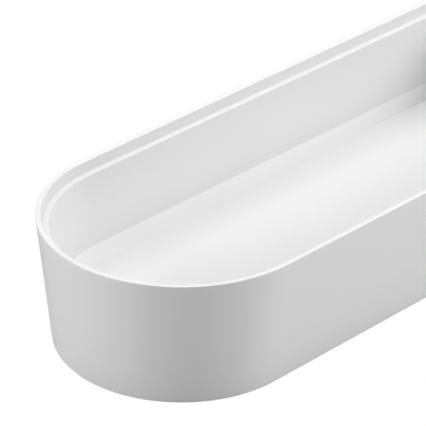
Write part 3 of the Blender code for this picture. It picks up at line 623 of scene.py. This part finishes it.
insert_foot = insert_outer(insert_low.z)
shoulder = insert_inner(insert_high.z - 0.001)
inner_foot = insert_inner(insert_floor_z)
insert_section = [(insert_foot - 0.0022, insert_low.z), (insert_foot - 0.0012, insert_low.z)]
insert_section += round_arc((insert_foot - 0.0012, insert_low.z + 0.0012), 0.0012, -80, -4, 5)
insert_section += rounded([
    (insert_outer(flange_z), flange_z, 0.0003), (flange_radius, flange_z, 0.0003),
    (flange_radius, insert_high.z, 0.0008), (shoulder, insert_high.z, 0.0014),
    (inner_foot, insert_floor_z, 0.0022), (inner_foot - 0.0030, insert_floor_z),
    (inner_foot - 0.0040, insert_floor_z),
], 6)
insert_shape = sweep(insert_section, half_route(insert_low.x, flange_radius, insert_corner))

bail_z = (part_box("bail_pin_1")[0].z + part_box("bail_pin_1")[1].z) / 2
bail_left_low, bail_left_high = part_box("bail_left")
bail_x = (bail_left_low.x + bail_left_high.x) / 2
pin_radius = (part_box("bail_pin_1")[1].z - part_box("bail_pin_1")[0].z) / 2
bail_rod = 0.0024
eye_radius = pin_radius + bail_rod
eye_width = 0.0050
ear_width = 0.0040
bail_y = bail_left_high.y - eye_radius
eye_half = (bail_left_high.x - bail_left_low.x) / 2 - eye_width / 2
ear_offset = eye_half + eye_width / 2 + CLEARANCE + ear_width / 2
ears, ear_bores = [], []
for side in (-1, 1):
    for x in (bail_x - ear_offset, bail_x + ear_offset):
        reach = sorted((side * bail_y, side * (insert_inner(bail_z) + insert_wall / 2)))
        low = (x - ear_width / 2, reach[0], bail_z - eye_radius)
        ears.append(block(low, (x + ear_width / 2, reach[1], bail_z + eye_radius)))
        ears.append(rod(eye_radius, (x - ear_width / 2, side * bail_y, bail_z),
            (x + ear_width / 2, side * bail_y, bail_z)))
        ear_bores.append(rod(pin_radius + CLEARANCE, (x - ear_width, side * bail_y, bail_z),
            (x + ear_width, side * bail_y, bail_z)))
insert_shape = carve(insert_shape, ears[0::2], "UNION")
insert_shape = carve(insert_shape, ears[1::2], "UNION")

basket_names = ["wick_basket_1", "wick_basket_2", "wick_basket_3"]
basket_xs = [(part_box(n)[0].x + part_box(n)[1].x) / 2 for n in basket_names]
basket_radius = 0.0190
tube_low, tube_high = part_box("gauge_tube")
gauge_x = (tube_low.x + tube_high.x) / 2
gauge_y = (tube_low.y + tube_high.y) / 2
gauge_radius = (tube_high.x - tube_low.x) / 2
grommet_low, grommet_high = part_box("gauge_grommet")
grommet_flange = (grommet_high.x - grommet_low.x) / 2
grommet_neck = grommet_flange - 0.0018
strainer_low, strainer_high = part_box("fill_strainer")
fill_x = (strainer_low.x + strainer_high.x) / 2
fill_y = (strainer_low.y + strainer_high.y) / 2
fill_radius = 0.0140
holes = [punch(basket_radius + CLEARANCE, x, 0, insert_low.z, insert_floor_z) for x in basket_xs]
holes.append(punch(fill_radius + CLEARANCE, fill_x, fill_y, insert_low.z, insert_floor_z))
holes.append(punch(grommet_neck + CLEARANCE, gauge_x, gauge_y, insert_low.z, insert_floor_z))
basket_pitch = basket_xs[1] - basket_xs[0]
slot_y = inner_foot - 0.0025 - 0.0200
for x in [basket_xs[i] + basket_pitch * (j - 1) / 3 for i in (0, 1) for j in range(3)]:
    for side in (-1, 1):
        holes.append(slot_tool(x, side * slot_y, 0.0026, 0.0200, insert_low.z - OVERSHOOT,
            insert_floor_z + OVERSHOOT))
insert_shape = carve(insert_shape, holes + ear_bores)
piece("grow_insert_tray", insert_shape, "insert", insert_grey, ["grow_insert"])


# Wick baskets: three black cups that hang through the insert's floor by their lips. Their slots let the water
# into the soil that fills them.
basket_low, basket_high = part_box("wick_basket_1")
basket_lip = (basket_high.x - basket_low.x) / 2
basket_foot = basket_radius * 0.84
basket_wall = 0.0015
lip_z = insert_floor_z + CLEARANCE
basket_black = moulded("basket_black", (0.030, 0.031, 0.033), 0.46, tone=0.16, scuffs=0.20, bump=0.05)
for basket_name, x in zip(basket_names, basket_xs):
    cup = turned([
        (0, basket_low.z + basket_wall), (basket_foot - basket_wall, basket_low.z + basket_wall, 0.0020),
        (basket_radius - basket_wall, basket_high.z, 0.0006), (basket_lip, basket_high.z, 0.0005),
        (basket_lip, lip_z, 0.0004), (basket_radius, lip_z, 0.0002), (basket_radius, insert_low.z, 0.0002),
        (basket_foot, basket_low.z, 0.0012), (0, basket_low.z),
    ], x, 0, 72)
    windows = []
    for k in range(8):
        angle = 2 * math.pi * (k + 0.5) / 8
        for z in (basket_low.z + basket_wall + 0.0026, insert_low.z - 0.0046):
            out = Vector((math.cos(angle), math.sin(angle), 0))
            start = Vector((x, 0, z)) + out * basket_radius * 0.55
            windows.append(rod(0.0016, start, start + out * basket_radius * 0.65, 24))
        slab = block((basket_radius * 0.55, -0.0016, basket_low.z + basket_wall + 0.0026),
            (basket_radius * 1.2, 0.0016, insert_low.z - 0.0046))
        bmesh.ops.transform(slab, verts=slab.verts,
            matrix=Matrix.Translation((x, 0, 0)) @ Matrix.Rotation(angle, 4, "Z"))
        windows.append(slab)
    holes = []
    for k in range(6):
        angle = 2 * math.pi * k / 6
        holes.append(rod(0.0013, (x + 0.0080 * math.cos(angle), 0.0080 * math.sin(angle),
            basket_low.z - OVERSHOOT),
                         (x + 0.0080 * math.cos(angle), 0.0080 * math.sin(angle), basket_low.z + 0.003), 20))
    cup = carve(cup, windows[0::3] + holes)
    cup = carve(cup, windows[1::3])
    cup = carve(cup, windows[2::3])
    piece(basket_name + "_cup", cup, "insert", basket_black, [basket_name])


# Capillary mat: a needled grey felt sheet, die cut to the insert's floor with holes for the baskets, the
# filler and the gauge. It lies loose, with the slight waves that felt keeps from the roll.
felt_low, felt_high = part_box("capillary_mat")
felt_half = felt_high.y
felt_thick = 0.0018
felt_corner = insert_corner - (flange_radius - felt_half) + 0.0040
felt_shape = sweep([(felt_half, felt_low.z), (felt_half, felt_low.z + felt_thick)],
    half_route(felt_low.x, felt_half, felt_corner))
felt_holes = [rod(basket_lip + 0.0010, (x, 0, felt_low.z - 0.002), (x, 0, felt_high.z + 0.002),
    64) for x in basket_xs]
felt_holes.append(rod(fill_radius + 0.0030, (fill_x, fill_y, felt_low.z - 0.002),
    (fill_x, fill_y, felt_high.z + 0.002), 56))
felt_holes.append(rod(grommet_flange + 0.0010, (gauge_x, gauge_y, felt_low.z - 0.002),
    (gauge_x, gauge_y, felt_high.z + 0.002), 56))
felt_shape = carve(felt_shape, felt_holes)
felt_area = sum(face.calc_area() for face in felt_shape.faces if face.normal.z > 0.9)
for axis, first, last in ((0, felt_low.x, felt_high.x), (1, felt_low.y, felt_high.y)):
    count = round((last - first) / 0.005)
    for i in range(1, count):
        spot, normal = Vector(), Vector()
        spot[axis] = first + (last - first) * i / count
        normal[axis] = 1
        bmesh.ops.bisect_plane(felt_shape,
            geom=felt_shape.verts[:] + felt_shape.edges[:] + felt_shape.faces[:], plane_co=spot,
            plane_no=normal, dist=1e-6)
for v in felt_shape.verts:
    swell = math.sin(23 * v.co.x + 9 * v.co.y) * math.sin(31 * v.co.y + 5)
    wave = swell + 0.5 * math.sin(61 * v.co.x - 40 * v.co.y)
    v.co.z += 0.00022 * (1.5 + wave)


def make_felt():
    """Needled felt: fibres that cross in three directions, small pills, and a mottled grey."""
    paint = bpy.data.materials.new("needled_felt")
    paint.use_nodes = True
    tree = paint.node_tree
    shader = tree.nodes["Principled BSDF"]
    place = tree.nodes.new("ShaderNodeTexCoord").outputs["Object"]
    fibres = None
    for turn, stretch in ((0.3, (260, 2600, 2600)), (1.4, (300, 2400, 2600)), (2.3, (240, 2800, 2600))):
        lay = tree.nodes.new("ShaderNodeMapping")
        lay.inputs["Rotation"].default_value = (0.1, 0.05, turn)
        lay.inputs["Scale"].default_value = stretch
        tree.links.new(place, lay.inputs["Vector"])
        strand = noise(tree, lay.outputs["Vector"], 1.0, 2)
        fibres = strand if fibres is None else maths(tree, "MAXIMUM", fibres, strand)
    pills = noise(tree, place, 380, 3)
    height = maths(tree, "ADD", fibres, maths(tree, "MULTIPLY", pills, 0.9))
    mottle = noise(tree, place, 55, 4)
    ramp = tree.nodes.new("ShaderNodeValToRGB")
    ramp.color_ramp.elements[0].position = 0.30
    ramp.color_ramp.elements[0].color = (0.050, 0.052, 0.052, 1)
    ramp.color_ramp.elements[1].position = 0.78
    ramp.color_ramp.elements[1].color = (0.20, 0.205, 0.20, 1)
    blend = maths(tree, "ADD", maths(tree, "MULTIPLY", fibres, 0.65), maths(tree, "MULTIPLY", mottle, 0.35))
    tree.links.new(blend, ramp.inputs["Fac"])
    tree.links.new(ramp.outputs["Color"], shader.inputs["Base Color"])
    tree.links.new(remap(tree, pills, 0.2, 0.8, 0.86, 1.0), shader.inputs["Roughness"])
    relief = tree.nodes.new("ShaderNodeBump")
    relief.inputs["Strength"].default_value = 0.7
    relief.inputs["Distance"].default_value = 0.0006
    tree.links.new(height, relief.inputs["Height"])
    tree.links.new(relief.outputs["Normal"], shader.inputs["Normal"])
    shader.inputs["Sheen Weight"].default_value = 0.35
    shader.inputs["Sheen Roughness"].default_value = 0.6
    return paint


felt_sheet = piece("felt_sheet", felt_shape, "insert", make_felt(), ["capillary_mat"])


# Bails: two folding handles in the insert's grey, each a round rod bent to a flat loop, with an eye moulded
# on each end. They lie flat over the soil and swing up to lift the insert.
for side, bail_name in ((1, "bail_left"), (-1, "bail_right")):
    bail_low, bail_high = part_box(bail_name)
    bail_reach = bail_high.y - bail_low.y - eye_radius - bail_rod
    eye_y = side * bail_y
    bend = 0.0100
    bail = bmesh.new()
    place = Matrix.Translation((bail_x - eye_half, eye_y - side * eye_radius * 0.4,
        bail_z)) @ Matrix.Rotation(math.pi / 2, 4, "X")
    bmesh.ops.create_circle(bail, cap_ends=False, segments=24, radius=bail_rod, matrix=place)
    line = bail.verts[:] + bail.edges[:]
    straight = bail_reach - bend - eye_radius * 0.4
    centre_y = eye_y - side * (bail_reach - bend)
    for x, y, degrees in (
        (0, -side * straight, 0), (bail_x - eye_half + bend, centre_y, 90 * side),
        (2 * (eye_half - bend), 0, 0),
        (bail_x + eye_half - bend, centre_y, 90 * side), (0, side * straight, 0),
    ):
        centre, shift = ((x, y, 0), (0, 0, 0)) if degrees else ((0, 0, 0), (x, y, 0))
        line = bmesh.ops.spin(
            bail, geom=line, cent=centre, axis=(0, 0, 1), dvec=shift, angle=math.radians(degrees),
            steps=16 if degrees else 1, use_merge=False, use_duplicate=False,
        )["geom_last"]
    bmesh.ops.holes_fill(bail, edges=[edge for edge in bail.edges if edge.is_boundary], sides=0)
    bmesh.ops.recalc_face_normals(bail, faces=bail.faces)
    eyes, bores = [], []
    for x in (bail_x - eye_half, bail_x + eye_half):
        eye = rod(eye_radius, (x - eye_width / 2, eye_y, bail_z), (x + eye_width / 2, eye_y, bail_z), 48)
        eyes.append(soften(eye, 0.0005, 60, 3))
        bores.append(rod(pin_radius + CLEARANCE, (x - eye_width, eye_y, bail_z),
            (x + eye_width, eye_y, bail_z), 40))
    bail = carve(bail, eyes, "UNION")
    bail = carve(bail, bores)
    piece(bail_name + "_handle", bail, bail_name, insert_grey, [bail_name])


# Bail pins and flap pin: short lengths of ground stainless wire with chamfered ends, pushed through the ears.
def make_ground_steel():
    """Ground stainless: fine rings round the wire and a soft, uneven polish."""
    paint = bpy.data.materials.new("ground_steel")
    paint.use_nodes = True
    tree = paint.node_tree
    shader = tree.nodes["Principled BSDF"]
    place = tree.nodes.new("ShaderNodeTexCoord").outputs["Object"]
    rings = tree.nodes.new("ShaderNodeMapping")
    rings.inputs["Scale"].default_value = (4200, 240, 240)
    tree.links.new(place, rings.inputs["Vector"])
    grind = noise(tree, rings.outputs["Vector"], 1.0, 2)
    stain = noise(tree, place, 500, 3)
    tint = tree.nodes.new("ShaderNodeValToRGB")
    tint.color_ramp.elements[0].color = (0.47, 0.47, 0.48, 1)
    tint.color_ramp.elements[1].color = (0.66, 0.66, 0.655, 1)
    tree.links.new(stain, tint.inputs["Fac"])
    tree.links.new(tint.outputs["Color"], shader.inputs["Base Color"])
    tree.links.new(remap(tree, grind, 0.3, 0.7, 0.20, 0.38), shader.inputs["Roughness"])
    shader.inputs["Metallic"].default_value = 1.0
    relief = tree.nodes.new("ShaderNodeBump")
    relief.inputs["Strength"].default_value = 0.15
    relief.inputs["Distance"].default_value = 0.0001
    tree.links.new(grind, relief.inputs["Height"])
    tree.links.new(relief.outputs["Normal"], shader.inputs["Normal"])
    return paint


ground_steel = make_ground_steel()
for pin_name, axis in [("bail_pin_1", 0), ("bail_pin_2", 0), ("bail_pin_3", 0), ("bail_pin_4", 0),
    ("flap_pin", 1)]:
    pin_low, pin_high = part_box(pin_name)
    middle = (pin_low + pin_high) / 2
    reach = Vector()
    reach[axis] = (pin_high[axis] - pin_low[axis]) / 2
    pin = rod((pin_high.z - pin_low.z) / 2, middle - reach, middle + reach, 40)
    piece(pin_name + "_wire", soften(pin, 0.0003, 60, 3), "insert", ground_steel, [pin_name])


# Filler: a grey fill tube that stands in the insert's floor, with two ears for its flap. A slotted strainer
# cup hangs on the step inside it.
hinge_low, hinge_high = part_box("flap_pin")
hinge_x = (hinge_low.x + hinge_high.x) / 2
hinge_z = (hinge_low.z + hinge_high.z) / 2
flap_pin_radius = (hinge_high.z - hinge_low.z) / 2
knuckle = 2 * flap_pin_radius
flap_half = 0.0040
fill_ear = 0.0022
tube_top = hinge_z - 0.0013
tube_wall = 0.0018
tube_bore = fill_radius - tube_wall
tube_step = tube_bore - 0.0016
step_z = tube_top - 0.0100
tube_end = insert_low.z - 0.0030
fill_tube = turned([
    (tube_bore, tube_top, 0.0004), (fill_radius, tube_top, 0.0005), (fill_radius, lip_z + 0.0016, 0.0008),
    (fill_radius + 0.0020, lip_z + 0.0016, 0.0005), (fill_radius + 0.0020, lip_z, 0.0003),
    (fill_radius, lip_z),
    (fill_radius - 0.0004, tube_end, 0.0005), (tube_step, tube_end, 0.0003), (tube_step, step_z, 0.0003),
    (tube_bore, step_z),
], fill_x, fill_y, 72, closed=True)
lugs, caps = [], []
for side in (-1, 1):
    far = flap_half + fill_ear
    near_y, far_y = sorted((fill_y + side * flap_half, fill_y + side * far))
    reach = fill_x - math.sqrt(fill_radius ** 2 - far ** 2) + tube_wall / 2
    lugs.append(block((hinge_x - knuckle, near_y, hinge_z - knuckle), (reach, far_y, tube_top - 0.0003)))
    lugs.append(block((hinge_x - knuckle, near_y, hinge_z - knuckle * 1.2),
        (hinge_x + knuckle, far_y, hinge_z)))
    caps.append(rod(knuckle, (hinge_x, near_y, hinge_z), (hinge_x, far_y, hinge_z), 48))
fill_tube = carve(fill_tube, lugs[0::2], "UNION")
fill_tube = carve(fill_tube, lugs[1::2], "UNION")
fill_tube = carve(fill_tube, caps, "UNION")
fill_tube = carve(fill_tube,
    [rod(flap_pin_radius + CLEARANCE, (hinge_x, fill_y - 0.012, hinge_z), (hinge_x, fill_y + 0.012, hinge_z),
    40)])
piece("fill_tube_body", fill_tube, "insert", insert_grey, ["fill_tube"])

strainer_radius = tube_step - CLEARANCE
strainer_foot = strainer_radius - 0.0004
strainer = turned([
    (0, strainer_low.z + 0.0011), (strainer_foot - 0.0011, strainer_low.z + 0.0011, 0.0010),
    (strainer_radius - 0.0011, strainer_high.z, 0.0004), (tube_bore - CLEARANCE, strainer_high.z, 0.0003),
    (tube_bore - CLEARANCE, strainer_high.z - 0.0011, 0.0002),
    (strainer_radius, strainer_high.z - 0.0011, 0.0002),
    (strainer_foot, strainer_low.z, 0.0008), (0, strainer_low.z),
], fill_x, fill_y, 64)
slits = [block((fill_x - strainer_foot / 2, y - 0.0007, strainer_low.z - 0.001),
    (fill_x + strainer_foot / 2, y + 0.0007, strainer_low.z + 0.003))
         for y in [fill_y + (k - 1.5) * 0.0036 for k in range(4)]]
strainer = carve(strainer, slits)
piece("fill_strainer_cup", strainer, "insert", basket_black, ["fill_strainer"])


# Filler flap: a thin round lid moulded with a raised bead, a thumb tab and a knuckle that turns on the flap
# pin.
flap_base = tube_top + CLEARANCE
flap_thick = 0.0020
flap_radius = fill_radius - 0.0010
lid = turned([
    (0, flap_base + flap_thick - 0.0005), (flap_radius - 0.0030, flap_base + flap_thick - 0.0005, 0.0004),
    (flap_radius - 0.0022, flap_base + flap_thick, 0.0004), (flap_radius, flap_base + flap_thick, 0.0006),
    (flap_radius, flap_base, 0.0003), (0, flap_base),
], fill_x, fill_y, 72)
tab = rod(0.0040, (fill_x + flap_radius - 0.001, fill_y, flap_base + 0.0002),
    (fill_x + flap_radius - 0.001, fill_y, flap_base + flap_thick - 0.0002), 40)
arm_half = flap_half - 0.0005
arm = block((hinge_x, fill_y - arm_half, flap_base + 0.0001),
    (fill_x - flap_radius + 0.0030, fill_y + arm_half, flap_base + flap_thick - 0.0001))
barrel = rod(knuckle, (hinge_x, fill_y - flap_half + CLEARANCE, hinge_z),
    (hinge_x, fill_y + flap_half - CLEARANCE, hinge_z), 48)
lid = carve(lid, [tab], "UNION")
lid = carve(lid, [arm], "UNION")
lid = carve(lid, [barrel], "UNION")
lid = carve(lid, [rod(flap_pin_radius + CLEARANCE, (hinge_x, fill_y - 0.012, hinge_z),
    (hinge_x, fill_y + 0.012, hinge_z), 40)])
piece("fill_flap_lid", lid, "fill_flap", insert_grey, ["fill_flap"])


# Water gauge: a clear tube held in the insert's floor by a rubber grommet and closed by a clear cap, with two
# fine level rings. A foam float inside it carries a stem and a red flag.
def make_clear(name, tint, roughness):
    """Clear moulded plastic with faint smears and a slight wave."""
    paint = bpy.data.materials.new(name)
    paint.use_nodes = True
    tree = paint.node_tree
    shader = tree.nodes["Principled BSDF"]
    place = tree.nodes.new("ShaderNodeTexCoord").outputs["Object"]
    smear = noise(tree, place, 160, 3)
    tree.links.new(remap(tree, smear, 0.35, 0.75, roughness, roughness + 0.14), shader.inputs["Roughness"])
    film = tree.nodes.new("ShaderNodeValToRGB")
    film.color_ramp.elements[0].color = (*tint, 1)
    film.color_ramp.elements[1].color = (*[min(1, c + 0.05) for c in tint], 1)
    tree.links.new(smear, film.inputs["Fac"])
    tree.links.new(film.outputs["Color"], shader.inputs["Base Color"])
    shader.inputs["Transmission Weight"].default_value = 1.0
    shader.inputs["IOR"].default_value = 1.49
    relief = tree.nodes.new("ShaderNodeBump")
    relief.inputs["Strength"].default_value = 0.05
    relief.inputs["Distance"].default_value = 0.0003
    tree.links.new(noise(tree, place, 120, 1), relief.inputs["Height"])
    tree.links.new(relief.outputs["Normal"], shader.inputs["Normal"])
    return paint


gauge_bore = gauge_radius - 0.0013
gauge_step = gauge_bore - 0.0020
ring_profile = [(gauge_bore, tube_high.z, 0.0002), (gauge_radius, tube_high.z, 0.0003)]
for mark in (0.0640, 0.0560):
    ring_profile += [(gauge_radius, mark + 0.0004), (gauge_radius + 0.00018, mark, 0.0002),
        (gauge_radius, mark - 0.0004)]
ring_profile += [(gauge_radius, tube_low.z, 0.0004), (gauge_step, tube_low.z, 0.0002),
    (gauge_step, tube_low.z + 0.0013, 0.0002)]
ring_profile += [(gauge_bore, tube_low.z + 0.0013)]
clear_tube = make_clear("gauge_clear", (0.90, 0.94, 0.95), 0.03)
piece("gauge_tube_clear", turned(ring_profile, gauge_x, gauge_y, 64, closed=True), "insert",
    clear_tube, ["gauge_tube"])

gauge_cap_low, gauge_cap_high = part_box("gauge_cap")
cap_edge = (gauge_cap_high.x - gauge_cap_low.x) / 2
cap_z = tube_high.z + CLEARANCE
cap_profile = [
    (0, gauge_cap_high.z), (gauge_radius - 0.0010, gauge_cap_high.z, 0.0008),
    (cap_edge, gauge_cap_high.z - 0.0008, 0.0006),
    (cap_edge, cap_z, 0.0003), (gauge_bore - CLEARANCE, cap_z, 0.0002),
    (gauge_bore - CLEARANCE, gauge_cap_low.z, 0.0003),
    (gauge_bore - 0.0012, gauge_cap_low.z, 0.0003), (gauge_bore - 0.0012, cap_z, 0.0002), (0, cap_z),
]
piece("gauge_cap_clear", turned(cap_profile, gauge_x, gauge_y), "insert", clear_tube,
    ["gauge_cap"])

grommet_bore = gauge_radius + CLEARANCE
grommet_profile = [
    (grommet_bore, grommet_high.z, 0.0004), (grommet_flange - 0.0006, grommet_high.z, 0.0008),
    (grommet_flange, grommet_high.z - 0.0016, 0.0008), (grommet_flange, lip_z, 0.0003),
    (grommet_neck, lip_z, 0.0002),
    (grommet_neck, grommet_low.z, 0.0003), (grommet_bore, grommet_low.z, 0.0003),
]
piece("gauge_grommet_ring", turned(grommet_profile, gauge_x, gauge_y, 64, closed=True), "insert",
    rubber_grey, ["gauge_grommet"])

float_low, float_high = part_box("gauge_float")
float_radius = (float_high.x - float_low.x) / 2
float_profile = [(0, float_high.z), (float_radius, float_high.z, 0.0012), (float_radius, float_low.z, 0.0012),
    (0, float_low.z)]
float_foam = moulded("float_foam", (0.78, 0.78, 0.74), 0.85, tone=0.10, scuffs=0.0, bump=0.30)
piece("gauge_float_body", turned(float_profile, gauge_x, gauge_y, 48), "gauge_float",
    float_foam, ["gauge_float"])
stem_low, stem_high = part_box("gauge_stem")
stem_radius = (stem_high.x - stem_low.x) / 2
stem_profile = [(0, stem_high.z), (stem_radius, stem_high.z, 0.0002), (stem_radius, stem_low.z, 0.0002),
    (0, stem_low.z)]
stem_white = moulded("stem_white", (0.74, 0.74, 0.73), 0.45, tone=0.05, scuffs=0.08, bump=0.04)
piece("gauge_stem_rod", turned(stem_profile, gauge_x, gauge_y, 32), "gauge_float", stem_white,
    ["gauge_stem"])
flag_low, flag_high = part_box("gauge_flag")
flag_radius = (flag_high.x - flag_low.x) / 2
flag_profile = [(0, flag_high.z), (flag_radius, flag_high.z - 0.0003, 0.0010),
    (flag_radius, flag_low.z, 0.0008), (0, flag_low.z)]
flag_red = moulded("flag_red", (0.55, 0.025, 0.018), 0.30, tone=0.08, scuffs=0.10, bump=0.03)
piece("gauge_flag_cap", turned(flag_profile, gauge_x, gauge_y, 48), "gauge_float", flag_red,
    ["gauge_flag"])
